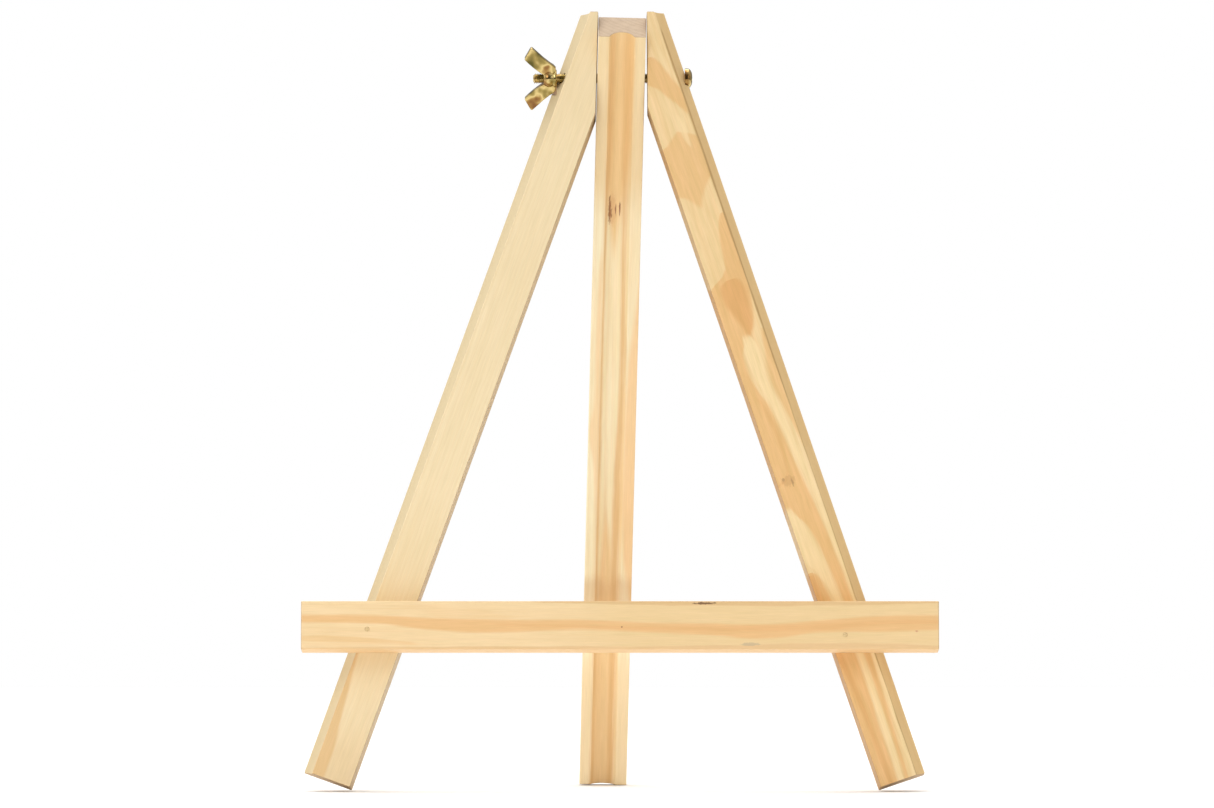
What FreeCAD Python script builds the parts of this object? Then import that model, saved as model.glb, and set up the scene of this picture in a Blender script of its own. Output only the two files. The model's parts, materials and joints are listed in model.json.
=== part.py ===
import FreeCAD, Part
import math
import os

# A small wooden display easel: two splayed front legs, a canvas ledge nailed across them, and one rear leg.
# The three legs hang on one bolt at the top, which a wing nut clamps. Millimetres, +Z up, front towards -Y.

Vector = FreeCAD.Vector

# How the easel stands. The front plane is the plane of the front legs' front faces.
LEAN = 6.5                   # degrees that the front plane leans back from upright
REAR_REACH = 283.0           # bolt to foot, along the rear leg
PIVOT_HEIGHT = 281.8         # bolt above the front feet, along the front plane

# Front legs: pine bars with a cove run along the outer front edge.
FRONT_THICKNESS = 15.0
FRONT_TOP = 307.5            # where both front legs are cut off level, along the front plane
COVE_WIDTH = 3.5
COVE_BELLY = (0.8, 0.55)     # a point that the cove passes through, as shares of its width and depth
INNER_DRAFT = 0.6            # how much further the inner side reaches at the back than at the front
LEFT_LEG = {"splay": 19.85, "foot_x": -116.0, "width": 19.8, "cove_depth": 10.2}
RIGHT_LEG = {"splay": -18.75, "foot_x": 111.8, "width": 18.9, "cove_depth": 5.0}

# Rear leg: a bar with a cove groove down its front face, hung a little out of square.
REAR_WIDTH = 18.8
REAR_THICKNESS = 14.5
REAR_X = 0.44                # the leg's middle, at the bolt
REAR_SKEW = 1.46             # degrees that the foot swings to the left
GROOVE_WIDTH = 9.8
GROOVE_DEPTH = 3.5
REAR_TOP_BACK = 23.5         # top end above the bolt, at the back edge
REAR_TOP_FRONT = 17.6        # and at the front edge, so the end is cut on a slant
CHEEK_GAP = 0.3              # between the rear leg's left side and the left leg's bevel
RIGHT_BEVEL = ((10.65, 307.5), (10.95, 267.0))
BEVEL_REACH = (240.0, 320.0) # the bevels' cutters start and end at these heights, clear of the bevels

# Canvas ledge, on the front of both legs.
LEDGE_LENGTH = 249.8
LEDGE_HEIGHT = 19.0
LEDGE_THICKNESS = 15.0
LEDGE_TOP = 72.0             # its top face above the feet, along the front plane
PIN_PLACES = {"left_ledge_pin": (-99.0, 61.0), "right_ledge_pin": (88.2, 58.7)}
PIN_RADIUS = 0.6
PIN_LENGTH = 25.0
PIN_HEAD_RADIUS = 0.9
PIN_HEAD_THICKNESS = 0.6
PIN_GAP = 0.02

# Bolt, 4 mm thread and 60 mm long, pushed in from the right.
BOLT_RADIUS = 2.0
BOLT_LENGTH = 60.0
BOLT_POINT = 0.5             # chamfer at the bolt's end
BOLT_SEAT_X = 25.7
BOLT_HOLE_RADIUS = 2.08
HEAD_RADIUS = 4.0
HEAD_HEIGHT = 3.0
HEAD_ROUND = 1.8             # fillet round the head's outer edge
HEAD_SEAT_RADIUS = 4.2
RECESS_DEPTH = 1.6
RECESS_LENGTH = 4.4
RECESS_WIDTH = 1.0

# Wing nut, seated against the left leg.
NUT_SEAT_X = -25.0
NUT_SEAT_RADIUS = 6.7
NUT_BORE_RADIUS = 2.05
HUB_RADIUS = 3.2
HUB_HEIGHT = 5.2
COLLAR_RADIUS = 3.6
COLLAR_HEIGHT = 1.3
WING_TURN = 28.0             # degrees that the upper wing is turned towards the front
WING_THICKNESS = 2.6
# One wing's outline: height above the seat, and distance from the bolt's axis.
WING_OUTLINE = [(0.4, 1.0), (0.2, 4.9), (2.7, 6.5), (9.9, 13.2), (12.8, 8.0), (6.8, 2.4), (5.0, 1.0)]

FAR = 400.0                  # longer than any piece, for cutting tools
BOLT_DEPTH = FRONT_THICKNESS / 2


def polygon(points):
    return Part.Face(Part.makePolygon(points + [points[0]]))


def rod(radius, start_x, end_x):
    """A cylinder on the bolt's axis between two places along it."""
    place = Vector(min(start_x, end_x), BOLT_DEPTH, PIVOT_HEIGHT)
    return Part.makeCylinder(radius, abs(end_x - start_x), place, Vector(1, 0, 0))


def slab(outline):
    """A cutter with this outline in the front plane, right through the easel from front to back."""
    return polygon([Vector(x, -FAR, up) for x, up in outline]).extrude(Vector(0, 2 * FAR, 0))


def front_leg(splay, foot_x, width, cove_depth):
    """A front leg, cut square at the foot and level at the top. Its cove faces outwards and to the front."""
    angle = math.radians(splay)
    side = 1 if splay > 0 else -1
    along = Vector(math.sin(angle), 0, math.cos(angle))
    inwards = Vector(side * math.cos(angle), 0, -side * math.sin(angle))
    middle = Vector(foot_x, 0, 0)
    outer_foot = middle - inwards * (width / 2) + along * (width / 2 * abs(math.tan(angle)))

    def corner(across, depth):
        return outer_foot + inwards * across + Vector(0, depth, 0)

    cove_start = corner(0, cove_depth)
    cove_end = corner(COVE_WIDTH, 0)
    belly = corner(COVE_BELLY[0] * COVE_WIDTH, COVE_BELLY[1] * cove_depth)
    cove = Part.Arc(cove_start, belly, cove_end).toShape()
    sides = [cove_end, corner(width - INNER_DRAFT, 0), corner(width, FRONT_THICKNESS),
             corner(0, FRONT_THICKNESS), cove_start]
    section = Part.Face(Part.Wire([cove] + Part.makePolygon(sides).Edges))
    bar = section.extrude(along * FAR)
    above = slab([(-FAR, FRONT_TOP), (FAR, FRONT_TOP), (FAR, 2 * FAR), (-FAR, 2 * FAR)])
    return bar.cut(above).cut(rod(BOLT_HOLE_RADIUS, -FAR, FAR))


def bevel_cutter(low, high, reach):
    """Takes away all that lies beyond the line from low to high, on the side of reach."""
    return slab([low, high, (reach, high[1]), (reach, low[1])])


def line_at(start, end, up):
    """The point of a line in the front plane at this height."""
    share = (up - start[1]) / (end[1] - start[1])
    return (start[0] + share * (end[0] - start[0]), up)


def left_front_leg():
    half = REAR_WIDTH / 2 / math.cos(math.radians(REAR_SKEW))
    slope = math.tan(math.radians(REAR_SKEW))
    cheek = [(REAR_X - half - CHEEK_GAP + (up - PIVOT_HEIGHT) * slope, up) for up in BEVEL_REACH]
    leg = front_leg(**LEFT_LEG).cut(bevel_cutter(cheek[0], cheek[1], FAR))
    return leg.cut(rod(NUT_SEAT_RADIUS, NUT_SEAT_X, -FAR))


def right_front_leg():
    cheek = [line_at(RIGHT_BEVEL[0], RIGHT_BEVEL[1], up) for up in BEVEL_REACH]
    leg = front_leg(**RIGHT_LEG).cut(bevel_cutter(cheek[0], cheek[1], -FAR))
    return leg.cut(rod(HEAD_SEAT_RADIUS, BOLT_SEAT_X, FAR))


def rear_leg():
    """The rear leg folded flat, before it is skewed and opened about the bolt."""
    half = REAR_WIDTH / 2
    front = -REAR_THICKNESS / 2
    back = REAR_THICKNESS / 2
    side = [Vector(-half, front, -REAR_REACH), Vector(-half, front, REAR_TOP_FRONT),
            Vector(-half, back, REAR_TOP_BACK), Vector(-half, back, -REAR_REACH)]
    bar = polygon(side).extrude(Vector(REAR_WIDTH, 0, 0))
    groove_radius = ((GROOVE_WIDTH / 2) ** 2 + GROOVE_DEPTH ** 2) / (2 * GROOVE_DEPTH)
    groove_centre = Vector(0, front + GROOVE_DEPTH - groove_radius, -FAR)
    bar = bar.cut(Part.makeCylinder(groove_radius, 2 * FAR, groove_centre))
    bar.rotate(Vector(0, 0, 0), Vector(0, 1, 0), REAR_SKEW)
    bar.translate(Vector(REAR_X, BOLT_DEPTH, PIVOT_HEIGHT))
    return bar.cut(rod(BOLT_HOLE_RADIUS, -FAR, FAR))


def rear_opening():
    """The angle between the rear leg and the front plane that puts all three feet on the floor."""
    lean = math.radians(LEAN)
    skew = math.radians(REAR_SKEW)
    bolt_above_floor = PIVOT_HEIGHT * math.cos(lean) + (FRONT_THICKNESS - BOLT_DEPTH) * math.sin(lean)
    down = REAR_REACH * math.cos(skew) + REAR_WIDTH / 2 * math.sin(skew)
    forward = REAR_THICKNESS / 2
    tilt = math.atan2(forward, down) + math.acos(bolt_above_floor / math.hypot(down, forward))
    return LEAN + math.degrees(tilt)


def pin(x, up, gap):
    """A nail through the ledge into a leg, its head flush with the ledge. A gap makes the hole for it."""
    face = Vector(x, -LEDGE_THICKNESS, up)
    head = Part.makeCylinder(PIN_HEAD_RADIUS + gap, PIN_HEAD_THICKNESS + gap, face, Vector(0, 1, 0))
    shank = Part.makeCylinder(PIN_RADIUS + gap, PIN_LENGTH + gap, face, Vector(0, 1, 0))
    return head.fuse(shank).removeSplitter()


def canvas_ledge():
    corner = Vector(-LEDGE_LENGTH / 2, -LEDGE_THICKNESS, LEDGE_TOP - LEDGE_HEIGHT)
    return Part.makeBox(LEDGE_LENGTH, LEDGE_THICKNESS, LEDGE_HEIGHT, corner)


def turned_about_bolt(outline):
    """The solid that an outline of (place along the bolt, radius) sweeps about the bolt's axis."""
    points = [Vector(x, BOLT_DEPTH, PIVOT_HEIGHT + radius) for x, radius in outline]
    return polygon(points).revolve(Vector(0, BOLT_DEPTH, PIVOT_HEIGHT), Vector(1, 0, 0), 360)


def pivot_bolt():
    end_x = BOLT_SEAT_X - BOLT_LENGTH
    outline = [(BOLT_SEAT_X, 0), (BOLT_SEAT_X, BOLT_RADIUS), (end_x + BOLT_POINT, BOLT_RADIUS),
               (end_x, BOLT_RADIUS - BOLT_POINT), (end_x, 0)]
    shank = turned_about_bolt(outline)
    head = rod(HEAD_RADIUS, BOLT_SEAT_X, BOLT_SEAT_X + HEAD_HEIGHT)
    rim = [edge for edge in head.Edges if abs(edge.BoundBox.XMin - BOLT_SEAT_X - HEAD_HEIGHT) < 0.01]
    head = head.makeFillet(HEAD_ROUND, rim)
    bolt = shank.fuse(head)
    for turn in (0, 90):
        slot = Part.makeBox(2 * RECESS_DEPTH, RECESS_WIDTH, RECESS_LENGTH,
                            Vector(BOLT_SEAT_X + HEAD_HEIGHT - RECESS_DEPTH,
                                   BOLT_DEPTH - RECESS_WIDTH / 2, PIVOT_HEIGHT - RECESS_LENGTH / 2))
        slot.rotate(Vector(0, BOLT_DEPTH, PIVOT_HEIGHT), Vector(1, 0, 0), turn)
        bolt = bolt.cut(slot)
    return bolt.removeSplitter()


def wing_nut():
    nut = rod(COLLAR_RADIUS, NUT_SEAT_X, NUT_SEAT_X - COLLAR_HEIGHT)
    nut = nut.fuse(rod(HUB_RADIUS, NUT_SEAT_X, NUT_SEAT_X - HUB_HEIGHT))
    for side in (1, -1):
        outline = [Vector(NUT_SEAT_X - height, BOLT_DEPTH - WING_THICKNESS / 2, PIVOT_HEIGHT + side * radius)
                   for height, radius in WING_OUTLINE]
        nut = nut.fuse(polygon(outline).extrude(Vector(0, WING_THICKNESS, 0)))
    nut = nut.cut(rod(NUT_BORE_RADIUS, -FAR, FAR)).removeSplitter()
    nut.rotate(Vector(0, BOLT_DEPTH, PIVOT_HEIGHT), Vector(1, 0, 0), WING_TURN)
    return nut


def pieces():
    """Every piece by name, where it is with the easel standing and its front plane upright."""
    opening = rear_opening()
    made = {"left_front_leg": left_front_leg(), "right_front_leg": right_front_leg(),
            "rear_leg": rear_leg(), "canvas_ledge": canvas_ledge(),
            "pivot_bolt": pivot_bolt(), "wing_nut": wing_nut()}
    made["rear_leg"].rotate(Vector(0, BOLT_DEPTH, PIVOT_HEIGHT), Vector(1, 0, 0), opening)
    for name, (x, up) in PIN_PLACES.items():
        hole = pin(x, up, PIN_GAP)
        made["canvas_ledge"] = made["canvas_ledge"].cut(hole)
        leg = name.split("_")[0] + "_front_leg"
        made[leg] = made[leg].cut(hole)
        made[name] = pin(x, up, 0.0)
    return made


def room_of(made):
    """The exact box round all the pieces."""
    return Part.makeCompound(list(made.values())).optimalBoundingBox(False, False)


def stand_up(made):
    """Leans the easel back and puts the origin on the floor, in the middle of the ground it covers."""
    for shape in made.values():
        shape.rotate(Vector(0, 0, 0), Vector(1, 0, 0), -LEAN)
    room = room_of(made)
    to_origin = Vector(-(room.XMin + room.XMax) / 2, -(room.YMin + room.YMax) / 2, -room.ZMin)
    for shape in made.values():
        shape.translate(to_origin)
    return to_origin


easel = pieces()
moved = stand_up(easel)
os.makedirs("parts", exist_ok=True)
for name, shape in easel.items():
    solid = shape.Solids[0]
    solid.exportStep(f"parts/{name}.step")
    box = solid.optimalBoundingBox(False, False)
    print(f"{name}: {len(shape.Solids)} solid, valid {solid.isValid()}, {solid.Volume:.0f} mm3,"
          f" {box.XLength:.1f} x {box.YLength:.1f} x {box.ZLength:.1f}")

lean_angle = math.radians(LEAN)
pivot = Vector(0, BOLT_DEPTH * math.cos(lean_angle) + PIVOT_HEIGHT * math.sin(lean_angle),
               PIVOT_HEIGHT * math.cos(lean_angle) - BOLT_DEPTH * math.sin(lean_angle)) + moved
ledge_middle = Vector(0, -LEDGE_THICKNESS / 2 * math.cos(lean_angle) + LEDGE_TOP * math.sin(lean_angle),
                      LEDGE_TOP * math.cos(lean_angle) + LEDGE_THICKNESS / 2 * math.sin(lean_angle)) + moved
whole = room_of(easel)
print(f"whole easel: {whole.XLength:.2f} x {whole.YLength:.2f} x {whole.ZLength:.2f}")
print(f"bolt axis through {pivot.x:.4f}, {pivot.y:.4f}, {pivot.z:.4f}")
print(f"rear leg opened {rear_opening():.3f} degrees")
print(f"middle of the ledge's top face {ledge_middle.x:.4f}, {ledge_middle.y:.4f}, {ledge_middle.z:.4f}")
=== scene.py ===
import json
import math

import bmesh
import bpy
from mathutils import Matrix, Vector, noise


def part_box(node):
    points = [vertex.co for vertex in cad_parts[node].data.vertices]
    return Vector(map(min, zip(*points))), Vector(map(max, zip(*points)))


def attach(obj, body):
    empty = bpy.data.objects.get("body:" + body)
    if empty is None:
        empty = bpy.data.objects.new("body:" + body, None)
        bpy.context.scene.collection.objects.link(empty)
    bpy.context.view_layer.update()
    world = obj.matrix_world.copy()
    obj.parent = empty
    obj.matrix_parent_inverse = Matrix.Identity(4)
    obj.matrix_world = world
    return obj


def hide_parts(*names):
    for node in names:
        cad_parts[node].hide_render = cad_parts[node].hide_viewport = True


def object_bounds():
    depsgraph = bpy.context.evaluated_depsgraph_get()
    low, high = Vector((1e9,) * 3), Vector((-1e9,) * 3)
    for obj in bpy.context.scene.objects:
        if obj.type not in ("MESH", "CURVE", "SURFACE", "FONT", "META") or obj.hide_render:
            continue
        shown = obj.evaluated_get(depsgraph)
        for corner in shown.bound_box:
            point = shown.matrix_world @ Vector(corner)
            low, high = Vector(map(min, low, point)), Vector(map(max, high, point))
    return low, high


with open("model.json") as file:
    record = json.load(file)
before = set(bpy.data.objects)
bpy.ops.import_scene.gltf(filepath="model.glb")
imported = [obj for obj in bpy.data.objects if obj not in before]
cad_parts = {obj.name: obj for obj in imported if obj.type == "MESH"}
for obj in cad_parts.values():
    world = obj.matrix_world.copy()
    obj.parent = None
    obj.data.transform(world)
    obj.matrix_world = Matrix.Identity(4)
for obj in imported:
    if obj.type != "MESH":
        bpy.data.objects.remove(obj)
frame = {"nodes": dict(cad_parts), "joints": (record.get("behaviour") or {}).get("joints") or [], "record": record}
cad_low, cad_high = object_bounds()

# A small wooden display easel: four pine bars, two nails, and a bolt with its wing nut.
# Each bar is drawn in its own axes in millimetres: x across its face from left to right,
# y into its depth, and z along it.

MM = 0.001

# The bars' sections, in millimetres.
LEFT_WIDTH = 19.8
RIGHT_WIDTH = 18.9
FRONT_THICKNESS = 15.0
INNER_DRAFT = 0.6            # how much further the inner side reaches at the back than at the front
COVE_WIDTH = 3.5
LEFT_COVE_DEPTH = 10.2
RIGHT_COVE_DEPTH = 5.0
REAR_WIDTH = 18.8
REAR_THICKNESS = 14.5
GROOVE_WIDTH = 9.8
GROOVE_DEPTH = 3.5
LEDGE_HEIGHT = 19.0
LEDGE_THICKNESS = 15.0
PIVOT_UP = 281.8             # bolt above the front feet, along the front plane
PIVOT_DEPTH = 7.5            # bolt behind the front plane

# Bolt, nails and wing nut, in millimetres.
HEAD_RADIUS = 4.0
HEAD_HEIGHT = 3.0
HEAD_SEAT_RADIUS = 4.2
HOLE_RADIUS = 2.08
CORE_RADIUS = 1.63
CREST_RADIUS = 2.0
THREAD_PITCH = 0.7
RECESS_DEPTH = 1.6
RECESS_LENGTH = 4.4
RECESS_WIDTH = 1.0
NUT_SEAT_RADIUS = 6.7
BORE_RADIUS = 2.06
NAIL_RADIUS = 0.6
NAIL_HEAD_RADIUS = 0.9
NAIL_HEAD_THICKNESS = 0.6
NAIL_LENGTH = 25.0
NAIL_SUNK = 0.06             # how far the head sits below the ledge's face
NAIL_HOLE_GAP = 0.03
HEAD_RIM = 0.7               # height of the straight part of the head's side
HEAD_EASE = 0.12             # how far the head's lower edge is eased
HEAD_TURN = 24.0             # degrees that the cross recess is turned
BOLT_CHAMFER = 0.5
THREAD_START = 0.55          # from the bolt's end to where the thread begins
THREAD_STOP = 0.35           # from where the thread ends to the head
WING_ROOT = 2.7              # thickness where the wing leaves the hub
WING_THINNING = 0.5          # how much thinner it is at its tip
WING_LENGTH = 14.5
WING_START = 1.6             # the wing's inner edge, from the bolt's axis
WING_FLARE = 0.5             # extra thickness at its inner edge
FLARE_REACH = 3.0
WING_EASE = 0.34

# How the shapes are made, in millimetres unless a comment says otherwise.
RING_STEP = 2.5              # between the sections that a bar is swept through
OUTLINE_STEP = 2.4           # between points on an outline's longer sides
ROUND_SIDES = 64             # sides of the bolt and of the nut's hub
THROUGH = 60.0               # far enough for a cutter to pass right out of a piece
SAME_PLACE = 1e-6            # metres between two points that are one
SHARP_EDGE = 0.5             # radians between two faces that meet in an arris
FLATNESS = 2e-3              # how far a point may stand above a flat end cut
SAME_WAY = 0.9999            # cosine between two normals of one cut
SIDE_SLANT = 0.05            # a face tilted less than this along the bar is one of its sides
STEEP_CUT = 0.7              # a cut tilted less than this along the bar is the bevel by the rear leg
LEAST_CUT = 1.0              # square millimetres, under which a face is a sliver
CREASE_MATCH = 1e-3          # how nearly two cuts agree in height where they cross
EASED_FROM = math.radians(32)
SMOOTH_UNDER = math.radians(40)
ARRIS_REACH = 2.2            # how far from the cove's arris its wandering is felt
FACE_WAVER = 0.05            # how far a planed face wavers
QUICK_WAVE = 0.22            # the quick waver's length and height, as shares of the slow one's
QUICK_HEIGHT = 0.45

front_up = Vector(frame["record"]["mounts"][0]["axis"]).normalized()
front_back = Vector((0, front_up.z, -front_up.y))
pivot = Vector(frame["joints"][0]["pos_m"])
front_foot = pivot - front_up * PIVOT_UP * MM - front_back * PIVOT_DEPTH * MM


# Solid work: outlines, swept bars, turned shapes and cuts

def object_from(name, shape):
    """An object at the origin whose mesh is this bmesh."""
    mesh = bpy.data.meshes.new(name)
    shape.to_mesh(mesh)
    shape.free()
    made = bpy.data.objects.new(name, mesh)
    bpy.context.scene.collection.objects.link(made)
    return made


def with_modifier(piece, kind, **settings):
    """The piece's mesh after one modifier, which doesn't stay on the piece."""
    modifier = piece.modifiers.new(kind.title(), kind)
    for name, value in settings.items():
        setattr(modifier, name, value)
    graph = bpy.context.evaluated_depsgraph_get()
    finished = bpy.data.meshes.new_from_object(piece.evaluated_get(graph), depsgraph=graph)
    piece.modifiers.clear()
    worn_out = piece.data
    piece.data = finished
    bpy.data.meshes.remove(worn_out)
    return piece


def cut(piece, cutter):
    with_modifier(piece, "BOOLEAN", operation="DIFFERENCE", solver="EXACT", object=cutter)
    bpy.data.objects.remove(cutter)
    return piece


def turned(name, outline, start, way, steps=48):
    """A closed turned shape. The outline is (distance along, radius) in millimetres, from axis to axis."""
    shape = bmesh.new()
    side = way.orthogonal().normalized()
    other = way.cross(side)
    rings = []
    for along, radius in outline:
        middle = start + way * along * MM
        if radius == 0:
            rings.append([shape.verts.new(middle)] * steps)
            continue
        angles = [2 * math.pi * step / steps for step in range(steps)]
        rings.append([shape.verts.new(middle + (side * math.cos(a) + other * math.sin(a)) * radius * MM)
                      for a in angles])
    for low, high in zip(rings, rings[1:]):
        for step in range(steps):
            after = (step + 1) % steps
            corners = [low[step], low[after], high[after], high[step]]
            corners = [c for i, c in enumerate(corners) if c not in corners[:i]]
            if len(corners) > 2:
                shape.faces.new(corners)
    bmesh.ops.recalc_face_normals(shape, faces=shape.faces)
    return object_from(name, shape)


def rod(radius, start, way, length):
    """A plain cutter for holes."""
    return turned("cutter", [(0, 0), (0, radius), (length, radius), (length, 0)], start, way)


def circle_arc(start, middle, end, steps):
    """Points on the circle through three points, from start to end."""
    (ax, ay), (bx, by), (cx, cy) = start, middle, end
    d = 2 * (ax * (by - cy) + bx * (cy - ay) + cx * (ay - by))
    a, b, c = ax * ax + ay * ay, bx * bx + by * by, cx * cx + cy * cy
    x = (a * (by - cy) + b * (cy - ay) + c * (ay - by)) / d
    y = (a * (cx - bx) + b * (ax - cx) + c * (bx - ax)) / d
    radius = math.hypot(ax - x, ay - y)
    first = math.atan2(ay - y, ax - x)
    last = math.atan2(cy - y, cx - x)
    sweep = (last - first + math.pi) % (2 * math.pi) - math.pi
    angles = [first + sweep * i / steps for i in range(steps + 1)]
    return [(x + radius * math.cos(angle), y + radius * math.sin(angle)) for angle in angles]


def spaced(points):
    """The closed outline with points added along its longer sides."""
    dense = []
    for start, end in zip(points, points[1:] + points[:1]):
        count = max(1, round(math.dist(start, end) / OUTLINE_STEP))
        dense += [(start[0] + (end[0] - start[0]) * i / count, start[1] + (end[1] - start[1]) * i / count)
                  for i in range(count)]
    return dense


def bar_axes(node_name, upright=True):
    """Where a bar's own axes lie in the easel, read from its CAD solid, and the solid in those axes."""
    solid = bmesh.new()
    solid.from_mesh(frame["nodes"][node_name].data)
    bmesh.ops.remove_doubles(solid, verts=solid.verts, dist=SAME_PLACE)
    if upright:
        sharp = [e for e in solid.edges if len(e.link_faces) == 2 and e.calc_face_angle() > SHARP_EDGE]
        longest = max(sharp, key=lambda e: e.calc_length())
        along = (longest.verts[1].co - longest.verts[0].co).normalized()
        along = along if along.z > 0 else -along
        depth = Vector((0, along.z, -along.y)).normalized()
    else:
        along = Vector((1, 0, 0))
        depth = front_back
    across = depth.cross(along)
    turn = Matrix((across, depth, along)).transposed()
    own = [turn.transposed() @ v.co for v in solid.verts]
    corner = Vector([min(p[i] for p in own) for i in range(3)])
    place = Matrix.Translation(turn @ corner) @ turn.to_4x4()
    solid.transform(Matrix.Scale(1 / MM, 4) @ place.inverted())
    solid.normal_update()
    return place, solid


def end_cuts(solid):
    """The flat cuts that end a bar, as (point, outward normal) in its own axes."""
    cuts = []
    for face in solid.faces:
        point, normal = face.calc_center_median(), face.normal.copy()
        recessed = any((v.co - point).dot(normal) > FLATNESS for v in solid.verts)
        known = any(normal.dot(n) > SAME_WAY for _, n in cuts)
        slanted = abs(normal.z) > SIDE_SLANT
        if slanted and face.calc_area() > LEAST_CUT and not recessed and not known:
            cuts.append((point, normal))
    return cuts


def closing_bevel(cuts, closing):
    """The cuts, with the steep one beside the rear leg turned to stand this much nearer to it at the back."""
    turned_cuts = []
    for point, normal in cuts:
        if 0 < normal.z < STEEP_CUT:
            point = Vector((point.x, 0, point.z))
            normal = Vector((normal.x, -closing / FRONT_THICKNESS, normal.z)).normalized()
        turned_cuts.append((point, normal))
    return turned_cuts


def height_on(cuts, x, y):
    """Where the line along the bar at x, y meets each cut."""
    return [p.z - ((x - p.x) * n.x + (y - p.y) * n.y) / n.z for p, n in cuts]


def with_creases(outline, tops):
    """The outline with a point added wherever the lowest of the top cuts changes along a side."""
    split = []
    for start, end in zip(outline, outline[1:] + outline[:1]):
        split.append(start)
        first, last = height_on(tops, *start), height_on(tops, *end)
        if first.index(min(first)) != last.index(min(last)):
            gap_first, gap_last = first[0] - first[1], last[0] - last[1]
            share = gap_first / (gap_first - gap_last)
            split.append((start[0] + share * (end[0] - start[0]), start[1] + share * (end[1] - start[1])))
    return split


def bar(name, node_name, outline, upright=True, waver=None, edge_round=0.35, closing=0.0):
    """A bar swept along its CAD solid's length and ended by the same cuts, with every arris eased.
    waver(x, y, z) moves a point of the section, for an arris that wanders."""
    place, solid = bar_axes(node_name, upright)
    cuts = closing_bevel(end_cuts(solid), closing)
    solid.free()
    tops = [c for c in cuts if c[1].z > 0]
    feet = [c for c in cuts if c[1].z < 0]
    outline = spaced(outline)
    if len(tops) > 1:
        outline = with_creases(outline, tops)
    length = max(min(height_on(tops, *p)) for p in outline)
    count = round(length / RING_STEP)
    shape = bmesh.new()
    rings = []
    for ring in range(count + 1):
        share = ring / count
        verts = []
        for x, y in outline:
            z = share * length
            dx, dy = waver(x, y, z) if waver else (0, 0)
            low, high = max(height_on(feet, x + dx, y + dy)), min(height_on(tops, x + dx, y + dy))
            verts.append(shape.verts.new((x + dx, y + dy, low + (high - low) * share)))
        rings.append(verts)
    for low, high in zip(rings, rings[1:]):
        for i in range(len(outline)):
            after = (i + 1) % len(outline)
            shape.faces.new((low[i], low[after], high[after], high[i]))
    shape.faces.new(rings[0][::-1])
    top = shape.faces.new(rings[-1])
    creases = []
    for vert, point in zip(rings[-1], outline):
        heights = height_on(tops, *point)
        if len(tops) > 1 and max(heights) - min(heights) < CREASE_MATCH:
            creases.append(vert)
    if len(creases) == 2:
        bmesh.utils.face_split(top, *creases)
    bmesh.ops.recalc_face_normals(shape, faces=shape.faces)
    shape.transform(place @ Matrix.Scale(MM, 4))
    piece = object_from(name, shape)
    with_modifier(piece, "BEVEL", width=edge_round * MM, segments=3, limit_method="ANGLE",
                  angle_limit=EASED_FROM, material=1, use_clamp_overlap=True)
    return piece, place


CUT_FROM = 0.25              # a face tilted this far along the bar begins to look like an end cut
CUT_SPAN = 0.35              # and this much further, it is one
FACES_INWARDS = 0.35         # cosine between a face and the way to the other front leg
BEVEL_SLANT = 0.12
DRAFT_SHADE = 0.6             # how much painted shade the drafted inner side takes, against the bevel


def mark_faces(piece, place, inwards=None):
    """Writes which faces are cut across the grain, which are the eased arrises, and how much painted shade each
    inner face takes.
    """
    mesh = piece.data
    along = place.to_3x3() @ Vector((0, 0, 1))
    inner = mesh.attributes.new("inner", "FLOAT", "FACE")
    cut_across = mesh.attributes.new("end_cut", "FLOAT", "FACE")
    arris = mesh.attributes.new("arris", "FLOAT", "FACE")
    for face in mesh.polygons:
        share = abs(face.normal.dot(along))
        cut_across.data[face.index].value = min(1.0, max(0.0, (share - CUT_FROM) / CUT_SPAN))
        arris.data[face.index].value = float(face.material_index == 1)
        if inwards is not None and face.normal.dot(inwards) > FACES_INWARDS:
            inner.data[face.index].value = 1.0 if share > BEVEL_SLANT else DRAFT_SHADE
        face.material_index = 0


def finish_piece(piece, material, body, slot, *nodes):
    """Gives a piece its material and smooth shading, and sets what it rides on and stands for."""
    mesh = piece.data
    mesh.materials.clear()
    mesh.materials.append(material)
    mesh.shade_smooth()
    mesh.set_sharp_from_angle(angle=SMOOTH_UNDER)
    with_modifier(piece, "WEIGHTED_NORMAL", keep_sharp=True, weight=80)
    piece.data.name = piece.name
    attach(piece, body)
    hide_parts(*nodes)
    return piece


# Node work

def node(tree, kind, values=(), **settings):
    """Adds a node. values are its inputs by name or number: another node's output, or a number or colour."""
    made = tree.nodes.new(kind)
    for name, value in settings.items():
        setattr(made, name, value)
    for socket, value in dict(values).items():
        if isinstance(value, bpy.types.NodeSocket):
            tree.links.new(value, made.inputs[socket])
        else:
            made.inputs[socket].default_value = value
    return made


def math_of(tree, operation, *values):
    return node(tree, "ShaderNodeMath", enumerate(values), operation=operation).outputs[0]


def times(tree, *values):
    return math_of(tree, "MULTIPLY", *values)


def plus(tree, *values):
    return math_of(tree, "ADD", *values)


def minus(tree, *values):
    return math_of(tree, "SUBTRACT", *values)


def swing(tree, value, amount):
    """A noise of 0 to 1 made to swing either side of nothing, by this amount in all."""
    return times(tree, minus(tree, value, 0.5), amount)


def vector_of(tree, operation, *values):
    made = node(tree, "ShaderNodeVectorMath", enumerate(values), operation=operation)
    return made.outputs["Value" if operation == "LENGTH" else "Vector"]


def scaled(tree, vector, factor):
    return node(tree, "ShaderNodeVectorMath", {0: vector, "Scale": factor}, operation="SCALE").outputs[0]


def blend(tree, mask, under, over, way="MIX"):
    """Colour over on colour under, by the mask."""
    made = node(tree, "ShaderNodeMix", {0: mask, 6: under, 7: over}, data_type="RGBA", blend_type=way)
    return made.outputs[2]


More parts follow.
